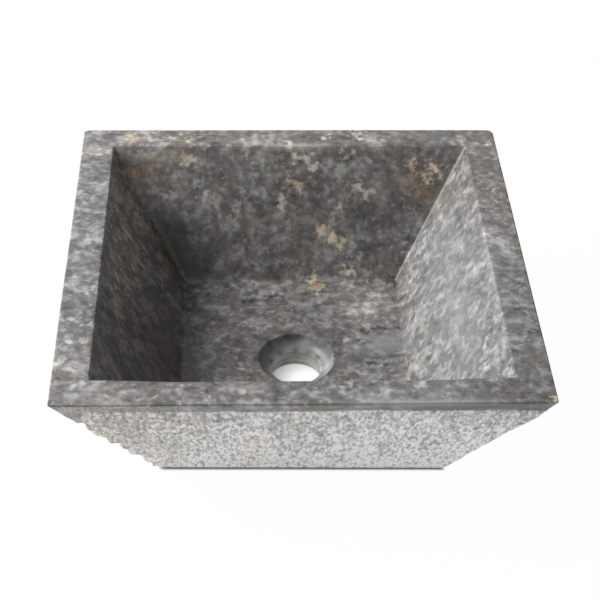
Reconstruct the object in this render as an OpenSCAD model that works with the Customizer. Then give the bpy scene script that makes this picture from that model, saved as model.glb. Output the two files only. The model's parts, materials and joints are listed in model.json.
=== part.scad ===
// Square vessel basin carved from one block of marble, on four thin pads.
// Z = 0 is the countertop and the origin is under the middle of the block. The front faces -Y.

/* [Block] */
// Side of the square rim, over its outer arrises
rim_side = 400; // [370:1:450]
// Side of the square foot
foot_side = 254; // [235:1:300]
// Thickness of the stone below the walls of the bowl
base_thickness = 30; // [26:1:45]
// Radius of the rim's corners, in plan, before each was dressed by hand
rim_corner_r = 5; // [3:0.5:8]
// Radius of the foot's corners, in plan, before each was worn down
foot_corner_r = 9; // [5:0.5:14]
// Rounding of the arris between the rim and the flanks
rim_arris = 1.5; // [0.8:0.1:3]
// Height of the eased edge all round the foot
foot_arris = 1; // [0.5:0.1:2]

/* [Bowl] */
// Width of the flat rim
rim_width = 30; // [24:0.5:40]
// Depth of the bowl, from the rim to the foot of its walls
bowl_depth = 112; // [90:1:125]
// Side of the bowl's square floor
floor_side = 205; // [180:1:220]
// Drop of the floor from the walls to the drain
floor_fall = 2; // [1:0.25:3]
// Radius of the bowl's four upright corners
bowl_corner_r = 2; // [1:0.5:10]
// Radius of the cove between the walls and the floor
cove_r = 3; // [2:0.5:10]
// Rounding of the lip between the rim and the bowl
lip_r = 2; // [1:0.25:4]

/* [Drain] */
// Distance of the drain in front of the middle of the bowl
drain_forward = 11; // [0:1:25]
// Distance of the drain to the right of the middle of the bowl
drain_right = 2; // [-4:0.5:4]
// Diameter of the bore for the waste
bore_d = 46; // [40:0.5:50]
// Diameter of the dished seat for the waste's flange
seat_d = 68; // [60:0.5:76]
// Depth of the seat
seat_depth = 11.5; // [8:0.5:14]
// Width of the flat ledge between the seat and the bore
ledge_width = 1.5; // [0.5:0.25:3]
// How far the seat's wall is hollowed below a straight cone
seat_hollow = 1.8; // [0.5:0.1:2.5]
// Eased edge of the seat, where the floor turns down into it
seat_lip = 1.5; // [0.5:0.25:3]
// Flat land of the floor round the seat
land_width = 3; // [1:0.5:8]
// Chamfer of the bore at the underside
bore_chamfer = 1; // [0.5:0.25:3]

/* [Hammered flanks] */
// Height of the honed margin under the rim
rim_margin = 13; // [8:1:25]
// Height of the honed margin above the foot
foot_margin = 3; // [2:0.5:10]
// Depth of the hammered fields behind the honed margins
hammer_depth = 0.4; // [0.2:0.1:2]
// Radius of the hips between the hammered fields, where no chip was struck off
hip_r = 1; // [0.5:0.25:6]
// Most that a struck chip adds to the radius of a hip, at the foot
chip_r = 19.5; // [0:0.5:24]
// Number of chips struck off each hip
chips = 14; // [6:1:24]

/* [Pads] */
// Diameter of a pad
pad_d = 26; // [16:1:36]
// Thickness of a pad
pad_thickness = 3; // [2:0.5:6]
// Distance of the pads from the edges of the foot
pad_inset = 14; // [8:1:24]

/* [Hidden] */
// Corners in the order in which a ring passes them, as signs of X and Y
BACK_RIGHT = [1, 1];
BACK_LEFT = [-1, 1];
FRONT_LEFT = [-1, -1];
FRONT_RIGHT = [1, -1];
CORNERS = [BACK_RIGHT, BACK_LEFT, FRONT_LEFT, FRONT_RIGHT];

// Straight pieces in the quarter turn of a corner, and in the arc of an arris, lip or cove
corner_steps = 5;
arc_steps = 4;
// Smoothness of the drain and the pads
$fn = 96;
// Overshoot of a cutter past the face that it breaks through
over = 1;
// Half the flat on each side of the round land, which keeps the points of its quarters apart
land_flat = 0.7;
// How far each of the rim's corners was rounded by hand, as a share of rim_corner_r
dressed = [1.2, 1, 0.5, 0.4];
// How far each of the foot's corners was worn down, as a share of foot_corner_r
worn = [0.6, 0.8, 1, 0.3];
// How hard the chips were struck along each hip, as a share of chip_r
struck = [0.5, 0.7, 1, 0.1];
// Size of the chips under the rim, as a share of those at the foot
rim_chip = 0.13;
// Steps in degrees from chip to chip and from hip to hip, and a spread, that scatter the chips
scatter_steps = [103, 311.7];
scatter_spread = 437.585;

// Heights of the foot, the foot of the bowl's walls, the drain's land and the rim
foot_z = pad_thickness;
floor_z = foot_z + base_thickness;
land_z = floor_z - floor_fall;
rim_z = floor_z + bowl_depth;

// Half sides of the rim, the foot, the bowl's mouth and its floor
rim_half = rim_side / 2;
foot_half = foot_side / 2;
mouth_half = rim_half - rim_width;
floor_half = floor_side / 2;

// Lean of the flanks, outwards for each millimetre of height
lean = (rim_half - foot_half) / (rim_z - rim_arris - foot_z);
// Angle of the bowl's walls off the vertical, and the tangent length of a unit arc at their ends
wall_angle = atan((mouth_half - floor_half) / bowl_depth);
wall_tangent = 1 / tan(45 + wall_angle / 2);

bore_r = bore_d / 2;
seat_r = seat_d / 2;
land_r = seat_r + seat_lip + land_width;
drain_at = [drain_right, -drain_forward];

// Heights of the edges of the honed margins, and of the fields, whose own edges slope in at 45 degrees
foot_margin_z = foot_z + foot_margin;
rim_margin_z = rim_z - rim_margin;
field_low_z = foot_margin_z + hammer_depth;
field_high_z = rim_margin_z - hammer_depth;

// Half side of the block on the plane of the flanks at a height
function flank(z) = foot_half + lean * (z - foot_z);

// A square ring of points at one height, counter-clockwise from above, each corner with its own radius
function ring(half, z, radii, at = [0, 0]) = [
    for (c = [0:3], i = [0:corner_steps])
        let (turn = 90 * (c + i / corner_steps))
        let (centre = at + (half - radii[c]) * CORNERS[c])
        [centre.x + radii[c] * cos(turn), centre.y + radii[c] * sin(turn), z]
];

// The same radius at all four corners
function all_four(r) = [for (c = CORNERS) r];

// Points [half side, height] of an arc in a section, between two angles
function arc(centre, r, from, to) = [
    for (i = [0:arc_steps])
        let (turn = from + (to - from) * i / arc_steps)
        centre + r * [cos(turn), sin(turn)]
];

// Rings that a section's points [half side, height] make, all with the same corner radii
function rings(section, radii) = [for (p = section) ring(p[0], p[1], radii)];

// Scattered number from 0 to 1 for one chip of one hip, the same in every build
function scattered(chip, hip) =
    let (s = scatter_spread * sin(scatter_steps * [chip, hip]))
    s - floor(s);

// Radii of the four hips at one chip, where most chips are shallow and a few are deep
function hip_radii(chip) =
    let (largest = chip_r * (1 - (1 - rim_chip) * chip / chips))
    [for (c = [0:3]) hip_r + largest * struck[c] * pow(scattered(chip, c), 2)];

// Foot and its honed margin
function foot_rings() = let (corners = foot_corner_r * worn) concat(
    rings([[foot_half - foot_arris, foot_z]], [for (r = corners) r - foot_arris]),
    rings([for (z = [foot_z + foot_arris, foot_margin_z]) [flank(z), z]], corners)
);

// Hammered fields, set back from the margins, with the chips along their hips
function field_rings() = [
    for (k = [0:chips])
        let (z = field_low_z + (field_high_z - field_low_z) * k / chips)
        ring(flank(z) - hammer_depth, z, hip_radii(k))
];

// Honed margin under the rim, whose hips widen to the dressed corners, the arris, and the flat rim's edge
function margin_rings() = concat(
    [ring(flank(rim_margin_z), rim_margin_z, hip_radii(chips))],
    rings(arc([rim_half - rim_arris, rim_z - rim_arris], rim_arris, 0, 90), rim_corner_r * dressed)
);

// Lip, wall and cove of the bowl, from the rim down to the floor
function bowl_rings() = rings(
    concat(
        arc([mouth_half + lip_r * wall_tangent, rim_z - lip_r], lip_r, 90, 180 - wall_angle),
        arc([floor_half - cove_r * wall_tangent, floor_z + cove_r], cove_r, -wall_angle, -90)
    ),
    all_four(bowl_corner_r)
);

// Level land round the drain: a circle, but for a short flat on each of its four sides
function land_rings() = [ring(land_r, land_z, all_four(land_r - land_flat), drain_at)];

// Closed body through a list of rings that have the same number of points
module loft(list) {
    n = len(list[0]);
    last = len(list) - 1;
    sides = [
        for (j = [0:last - 1], i = [0:n - 1])
            let (a = j * n + i, b = j * n + (i + 1) % n)
            each [[a, a + n, b + n], [a, b + n, b]]
    ];
    first_cap = [for (i = [0:n - 1]) i];
    last_cap = [for (i = [n - 1:-1:0]) last * n + i];
    polyhedron([for (r = list) each r], concat([first_cap, last_cap], sides), convexity = 8);
}

// Wall of the dished seat: a cone from the ledge up to the lip, hollowed along a parabola
function seat_wall() = let (
    low = [bore_r + ledge_width, land_z - seat_depth],
    high = [seat_r, land_z - seat_lip],
    down_and_out = [high.y - low.y, low.x - high.x] / norm(high - low)
) [
    for (i = [0:2 * arc_steps])
        let (t = i / (2 * arc_steps))
        low + t * (high - low) + 4 * seat_hollow * t * (1 - t) * down_and_out
];

// Cutter for the drain: chamfer, bore, ledge, dished seat and eased lip
module drain() {
    profile = concat(
        [
            [0, foot_z - over],
            [bore_r + bore_chamfer + over, foot_z - over],
            [bore_r, foot_z + bore_chamfer],
            [bore_r, land_z - seat_depth]
        ],
        seat_wall(),
        [[seat_r + seat_lip + over, land_z + over], [0, land_z + over]]
    );
    translate(drain_at) rotate_extrude() polygon(profile);
}

// Block, bowl and drain, from one stone
module basin() {
    color("#8b8782") difference() {
        loft(concat(foot_rings(), field_rings(), margin_rings(), bowl_rings(), land_rings()));
        drain();
    }
}

// Thin round pad under one corner of the foot
module pad(corner) {
    reach = foot_half - pad_inset - pad_d / 2;
    color("#2b2b2a") translate(reach * corner) cylinder(d = pad_d, h = pad_thickness);
}

module pad_front_left() { pad(FRONT_LEFT); }
module pad_front_right() { pad(FRONT_RIGHT); }
module pad_back_right() { pad(BACK_RIGHT); }
module pad_back_left() { pad(BACK_LEFT); }

basin();
pad_front_left();
pad_front_right();
pad_back_right();
pad_back_left();
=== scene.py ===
"""Looks of a square vessel basin, carved from one block of grey veined marble.

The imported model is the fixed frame. The block is made again as one closed surface, with the pitting
of its hammered flanks, its chipped hips and its dressed corners, and stands for the solid. The four
pads keep their solids and get the finish of moulded rubber.
"""

import itertools
import json
import logging
import math
from collections.abc import Callable
from dataclasses import dataclass, field
from enum import Enum, IntEnum
from functools import partial
from typing import Self

import bpy
import numpy as np
from mathutils import Matrix, Vector


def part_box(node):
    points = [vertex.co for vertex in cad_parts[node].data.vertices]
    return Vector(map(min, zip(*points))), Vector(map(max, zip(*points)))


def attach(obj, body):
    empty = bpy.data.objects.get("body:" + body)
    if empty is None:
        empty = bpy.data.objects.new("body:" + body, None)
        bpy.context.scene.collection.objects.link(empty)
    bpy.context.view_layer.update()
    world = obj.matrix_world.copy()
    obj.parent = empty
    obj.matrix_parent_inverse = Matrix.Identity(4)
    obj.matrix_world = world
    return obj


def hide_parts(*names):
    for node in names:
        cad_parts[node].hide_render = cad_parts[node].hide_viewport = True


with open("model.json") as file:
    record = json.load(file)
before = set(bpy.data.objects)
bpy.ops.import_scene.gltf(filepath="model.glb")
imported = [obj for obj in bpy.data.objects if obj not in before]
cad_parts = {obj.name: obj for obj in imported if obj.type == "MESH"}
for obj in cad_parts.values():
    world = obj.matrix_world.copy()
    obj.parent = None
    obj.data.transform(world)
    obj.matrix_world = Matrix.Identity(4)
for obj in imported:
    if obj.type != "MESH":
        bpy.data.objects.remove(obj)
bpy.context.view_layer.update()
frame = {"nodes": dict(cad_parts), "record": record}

LOG = logging.getLogger("basin")
MM = 0.001
BODY = "root"

Tree = bpy.types.NodeTree
Socket = bpy.types.NodeSocket
Value = float | int | str | bool | tuple | Socket
Links = dict[str | int, Value] | tuple[Value, ...]
Adder = Callable[..., bpy.types.NodeOutputs]
Array = np.ndarray
Triple = tuple[float, float, float]
Piece = bpy.types.Object


class Zone(IntEnum):
    """Kinds of surface along the section of the block."""

    HONED = 0
    FLANK = 1
    ARRIS = 2
    BORE = 3
    UNDERSIDE = 4


# Colours and nodes


def linear(hex_colour: str) -> tuple[float, float, float, float]:
    """Turns an sRGB hex colour to the linear colour that a shader takes.

    Args:
        hex_colour: Six hex digits after a hash.

    Returns:
        Red, green, blue and an alpha of 1.
    """
    shares = [int(hex_colour[i : i + 2], 16) / 255 for i in (1, 3, 5)]
    return (*[s / 12.92 if s <= 0.04045 else ((s + 0.055) / 1.055) ** 2.4 for s in shares], 1.0)


def add_node(tree: Tree, kind: str, links: Links, **settings: Value) -> bpy.types.NodeOutputs:
    """Adds a node to a tree, with its settings, values and links.

    Args:
        tree: The node tree.
        kind: The node's type, after the word ShaderNode.
        links: A value, or another node's output, for each input by name or place, or for the
            first ones in their order.
        **settings: The node's own properties.

    Returns:
        The outputs of the new node.
    """
    node = tree.nodes.new("ShaderNode" + kind)
    for name, value in settings.items():
        setattr(node, name, value)
    for key, value in links.items() if isinstance(links, dict) else enumerate(links):
        if isinstance(value, Socket):
            tree.links.new(value, node.inputs[key])
        else:
            node.inputs[key].default_value = value
    return node.outputs


def adder(owner: bpy.types.Material | bpy.types.World) -> Adder:
    """Empties the node tree of a material or a world.

    Args:
        owner: The material or the world.

    Returns:
        The function that adds a node to this tree.
    """
    owner.use_nodes = True
    owner.node_tree.nodes.clear()
    return partial(add_node, owner.node_tree)


# Scattered numbers on a lattice, for relief that is the same in every run


def draw(cells: Array, seed: int) -> Array:
    """Scattered number from 0 to 1 for each cell of a lattice.

    The three whole coordinates are each multiplied by a large odd number, joined bit by bit, and
    stirred by shifts and two more multiplications.

    Args:
        cells: Whole coordinates, with 3 in the last axis.
        seed: Which of the patterns to take.

    Returns:
        An array without the last axis.
    """
    c = cells.astype(np.int64).astype(np.uint32)
    mixed = c[..., 0] * np.uint32(73856093) ^ c[..., 1] * np.uint32(19349663)
    mixed = mixed ^ c[..., 2] * np.uint32(83492791) ^ np.uint32(seed * 668265263 % 2**32)
    mixed = (mixed ^ mixed >> np.uint32(15)) * np.uint32(2246822519)
    mixed = (mixed ^ mixed >> np.uint32(13)) * np.uint32(3266489917)
    return (mixed ^ mixed >> np.uint32(16)) / 2**32


def ease(t: Array) -> Array:
    """Smooth step: 0 up to 0, 1 from 1 on, and 3t^2 - 2t^3 between."""
    t = np.clip(t, 0, 1)
    return t * t * (3 - 2 * t)


def swell(points: Array, size: float, seed: int) -> Array:
    """Soft relief: scattered heights on a cubic lattice, blended with a smooth step.

    Args:
        points: Places in metres, with 3 in the last axis.
        size: Edge of the lattice's cells, in metres.
        seed: Which of the patterns to take.

    Returns:
        Heights from -1 to 1.
    """
    low = np.floor(points / size)
    t = ease(points / size - low)
    total = np.zeros(points.shape[:-1])
    for step in itertools.product((0, 1), repeat=3):
        weight = np.prod(np.where(step, t, 1 - t), axis=-1)
        total += weight * draw(low + step, seed)
    return 2 * total - 1


def pits(points: Array, size: float, seed: int) -> Array:
    """Relief of scattered pits: each cell of a lattice holds one pit at a scattered place.

    Args:
        points: Places in metres, with 3 in the last axis.
        size: Edge of the lattice's cells, in metres.
        seed: Which of the patterns to take.

    Returns:
        1 in the middle of a pit, less by the distance to the nearest middle over the size.
    """
    place = points / size
    low = np.floor(place)
    nearest = np.full(points.shape[:-1], np.inf)
    for step in itertools.product((-1, 0, 1), repeat=3):
        cell = low + step
        middle = cell + np.stack([draw(cell, seed + k) for k in range(3)], axis=-1)
        nearest = np.minimum(nearest, np.linalg.norm(place - middle, axis=-1))
    return 1 - np.clip(nearest, 0, 1)


# Surfaces


def arc(
    centre: tuple[float, float], radius: float, start: float, end: float, count: int
) -> Array:
    """Points [half side, height] of an arc in the section, without its end.

    Args:
        centre: Middle of the arc.
        radius: Radius of the arc.
        start: Angle at which it starts, in radians, 0 outwards and a quarter turn up.
        end: Angle at which it ends.
        count: Number of points.

    Returns:
        An array of count rows: centre + radius * (cos, sin) of evenly spaced angles.
    """
    turn = start + (end - start) * np.arange(count) / count
    return np.array(centre) + radius * np.stack([np.cos(turn), np.sin(turn)], axis=1)


def run(start: tuple[float, ...], end: tuple[float, ...], count: int) -> Array:
    """Evenly spaced rows from start up to but without end, by linear blending."""
    t = (np.arange(count) / count)[:, None]
    return np.array(start) * (1 - t) + np.array(end) * t


def square_rings(
    half: Array, height: Array, middle: Array, radii: Array, quarter: int
) -> Array:
    """Square rings with round corners, counter-clockwise from above, one for each station.

    Each quarter runs from the middle of one side to the middle of the next: along x = half, round
    the corner's arc, and back along y = half. The points are shared between the flats and the arc
    by length, with the arc weighted, so that a ring can be anything from a square to a circle.

    Args:
        half: Half side of each ring, with one value for each station.
        height: Height of each ring.
        middle: Place of each ring's middle in plan, stations by 2.
        radii: Radius of each of the four corners, stations by 4.
        quarter: Number of points in a quarter.

    Returns:
        Points, stations by 4 times quarter by 3.
    """
    corner_weight = 5
    t = ((np.arange(quarter) + 0.5) / quarter)[None, None, :]
    h = half[:, None, None]
    r = radii[:, :, None]
    flat = h - r
    bend = corner_weight * r * math.pi / 2
    share = bend / (bend + 2 * flat)
    before = np.maximum((1 - share) / 2, 1e-9)
    turn = np.clip((t - before) / share, 0, 1) * math.pi / 2
    on_first = t < before
    on_last = t > 1 - before
    x = np.where(on_last, flat * (1 - t) / before, flat + r * np.cos(turn))
    x = np.where(on_first, h, x)
    y = np.where(on_first, flat * t / before, flat + r * np.sin(turn))
    y = np.where(on_last, h, y)
    quarters = [(x, y), (-y, x), (-x, -y), (y, -x)]
    rows = [np.stack([a[:, c], b[:, c]], axis=-1) for c, (a, b) in enumerate(quarters)]
    plan = np.concatenate(rows, axis=1)
    plan += middle[:, None, :]
    level = np.broadcast_to(height[:, None, None], (*plan.shape[:2], 1))
    return np.concatenate([plan, level], axis=-1)


def outward(points: Array) -> Array:
    """Normals of a grid that closes on itself both ways, from differences of neighbours.

    Args:
        points: Stations by points of a ring by 3.

    Returns:
        Unit vectors, as many as there are points.
    """
    along = np.roll(points, -1, axis=1) - np.roll(points, 1, axis=1)
    across = np.roll(points, -1, axis=0) - np.roll(points, 1, axis=0)
    normal = np.cross(along, across)
    return normal / np.maximum(np.linalg.norm(normal, axis=-1, keepdims=True), 1e-12)


def closed_grid(name: str, points: Array) -> Piece:
    """Mesh object from a grid of points that closes on itself both ways, with its faces outwards.

    Args:
        name: The object's name.
        points: Stations by points of a ring by 3.

    Returns:
        The object, linked to the scene, at the origin.
    """
    stations, ring = points.shape[:2]
    index = np.arange(stations * ring).reshape(stations, ring)
    right = np.roll(index, -1, axis=1)
    faces = np.stack(
        [index, right, np.roll(right, -1, axis=0), np.roll(index, -1, axis=0)], axis=-1
    ).reshape(-1, 4)
    mesh = bpy.data.meshes.new(name)
    mesh.vertices.add(stations * ring)
    mesh.vertices.foreach_set("co", points.astype(np.float32).ravel())
    mesh.loops.add(faces.size)
    mesh.loops.foreach_set("vertex_index", faces.astype(np.int32).ravel())
    mesh.polygons.add(len(faces))
    mesh.polygons.foreach_set("loop_start", np.arange(0, faces.size, 4, dtype=np.int32))
    mesh.polygons.foreach_set("use_smooth", np.ones(len(faces), dtype=bool))
    mesh.update(calc_edges=True)
    mesh.validate()
    piece = bpy.data.objects.new(name, mesh)
    bpy.context.scene.collection.objects.link(piece)
    return piece


def store(piece: Piece, name: str, values: Array) -> None:
    """Stores a named attribute on the points of a piece's mesh.

    Args:
        piece: The mesh object.
        name: Name of the attribute.
        values: A value, or a row of three, for each point.
    """
    count = values.size // len(piece.data.vertices)
    kind, field_name = ("FLOAT", "value") if count == 1 else ("FLOAT_VECTOR", "vector")
    attribute = piece.data.attributes.new(name, kind, "POINT")
    attribute.data.foreach_set(field_name, values.astype(np.float32).ravel())


# Figure of the stone


@dataclass(frozen=True)
class Patch:
    """A place in the stone, in millimetres: its reach, how strong it is, and its stretch."""

    place: Triple
    reach: float
    strength: float
    stretch: Triple

    @classmethod
    def table(cls, *rows: tuple[float, ...]) -> tuple[Self, ...]:
        """Makes patches from rows of numbers.

        Args:
            *rows: Place, reach, strength and the three stretches, and for a tone its warmth. A
                strength or stretch of 1 may be left out at the end of a row.

        Returns:
            One patch for each row.
        """
        usual = (1, 1, 1, 1)
        full = [(*row, *usual[len(row) - 4 :]) for row in rows]
        return tuple(cls(row[:3], row[3], row[4], row[5:8], *row[8:]) for row in full)

    def closeness(self, points: Array) -> Array:
        """Strength at the middle, falling in a straight line to 0 at the reach.

        Args:
            points: Places in metres, with 3 in the last axis.

        Returns:
            An array without the last axis.
        """
        offset = (points - np.array(self.place) * MM) / np.array(self.stretch)
        away = np.linalg.norm(offset, axis=-1) / (self.reach * MM)
        return self.strength * (1 - np.clip(away, 0, 1))


@dataclass(frozen=True)
class ToneAndPaintedLight(Patch):
    """Lighter or darker, warmer or cooler patch: the stone's own, and painted light and shade."""

    warmth: float = 0.0

    def shares(self, points: Array) -> Array:
        """Strength and warmth at each point, in the last axis, fading out evenly."""
        near = ease(self.closeness(points) / self.strength)
        return near[..., None] * np.array([self.strength, self.warmth])


class Form(Enum):
    """How a patch shows: fading out evenly, or as a ragged blotch with flecks round it."""

    SOFT = "soft"
    RAGGED = "ragged"


@dataclass(frozen=True)
class Inclusion:
    """Patches of another mineral or tone in the stone, all of one colour and form."""

    name: str
    colour: str
    form: Form
    patches: tuple[Patch, ...]

    def closeness(self, points: Array) -> Array:
        """Closeness to the nearest of the patches, from 0 to 1."""
        near = np.max([patch.closeness(points) for patch in self.patches], axis=0)
        return ease(near) if self.form is Form.SOFT else near


# Paler and darker places, as the photograph shows them
# These rows mix the stone's own lighter and darker places with painted light and shade: painted shade
# in the back-left inner corner, low on the left wall, on the back wall, on the left of the floor, at
# the seat's rim on its left and back, round the bore's top edge, low in the bore and over the
# highlight on the seat's lip; painted light on the right wall, the right of the floor, the seat's
# wall, most on its right, and the left wall by the back corner.
TONES_AND_PAINTED_LIGHT = ToneAndPaintedLight.table(
    (-186, 0, 145, 60, 0.12, 0.6, 4, 0.5, -0.7), (-186, -100, 145, 60, 0.1, 0.6, 2, 0.5),
    (0, 186, 145, 60, 0.1, 3, 0.5, 0.5, 0.6), (-110, 186, 145, 60, 0.05, 1.2, 0.5, 0.5, 0.4),
    (0, 135, 90, 110, -0.29, 1.6, 0.5, 1, 0.3), (90, 140, 90, 60, -0.28, 1, 0.6, 1),
    (-154, 30, 122, 60, 0.5, 0.6, 2.4, 0.7, 1), (-112, -30, 50, 80, -0.55, 0.5, 2.2, 1, 0.8),
    (-142, -90, 90, 80, -0.46, 0.6, 1.7, 1, 0.8), (-98, 114, 52, 44, -0.5),
    (-118, 132, 80, 26, -0.45), (-107, 117, 60, 20, -0.3),
    (-126, 104, 66, 50, -0.25, 1, 1, 1, 0.8), (-110, 128, 74, 30, -0.45, 0.8, 0.4, 1),
    (-94, 108, 44, 22, -0.3, 1, 0.5, 1), (-148, 112, 100, 34, 0.4, 0.5, 0.9, 1, 0.9),
    (-122, 88, 62, 30, 0.2, 0.5, 1, 1, 0.9), (150, -20, 92, 130, 0.3, 0.5, 2, 1, -0.6),
    (150, -110, 92, 70, -0.1, 0.6, 1.4, 1.2), (140, 135, 115, 45, 0.01, 0.6, 1, 1.2, 0.8),
    (10, 60, 33, 60, -0.35), (-72, -5, 33, 50, -0.17), (70, 62, 33, 50, 0.36),
    (66, -24, 33, 60, -0.26), (90, -165, 80, 110, 0.1), (28, -13, 23, 20, 1.05),
    (-22, -14, 22, 12, 0.45), (-34, -8, 30, 11, -0.45, 0.7, 1.6, 1),
    (-24, 14, 30, 12, -0.45, 1, 0.8, 1), (15, 4, 10, 14, 0.3), (-20, -2, 20, 6, -0.35),
    (-12, 9, 20, 6, -0.5), (2, 13, 20, 6, -0.5), (14, 9, 20, 6, -0.4), (22, 2, 20, 6, -0.5),
    (26, -8, 20, 7, -0.6), (25, -19, 20, 7, -0.5), (-20, -8, 12, 16, -0.5, 0.7, 1, 1),
    (-7, 9, 6, 10, -0.3), (38, -8, 31, 8, -0.6, 0.6, 1.5, 0.7),
    (37, -21, 31, 8, -0.6, 0.7, 1.2, 0.7), (32, -31, 31, 8, -0.5, 0.9, 0.9, 0.7),
    (-140, -188, 116, 60, -0.08, 1.4, 0.5, 0.6, 0.5), (-158, -164, 75, 12, -0.12, 1, 1, 1.4, 1.2),
    (-86, -182, 109, 16, -0.04, 1, 1, 1.4, 0.6), (-40, -153, 53, 16, -0.04, 1, 1, 1.4, 0.6),
    (-2, 24, 30, 12, -0.45, 2, 0.6, 1), (60, -186, 145, 60, 0.16, 2, 0.5, 0.5, -0.3),
    (186, -90, 145, 60, -0.1, 0.6, 2, 0.5, -0.3), (186, 110, 145, 60, 0.02, 0.6, 2, 0.5, 0.7),
    (166, -10, 137, 12, 0.2, 1, 9, 1), (90, -186, 145, 60, 0.08, 1.6, 0.5, 0.5),
    (120, -199, 136, 50, -0.46, 3, 0.5, 0.3), (-140, -199, 136, 50, 0.02, 2, 0.5, 0.3),
    (60, 50, 33, 24, -0.15, 3, 0.6, 1),
)
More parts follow.
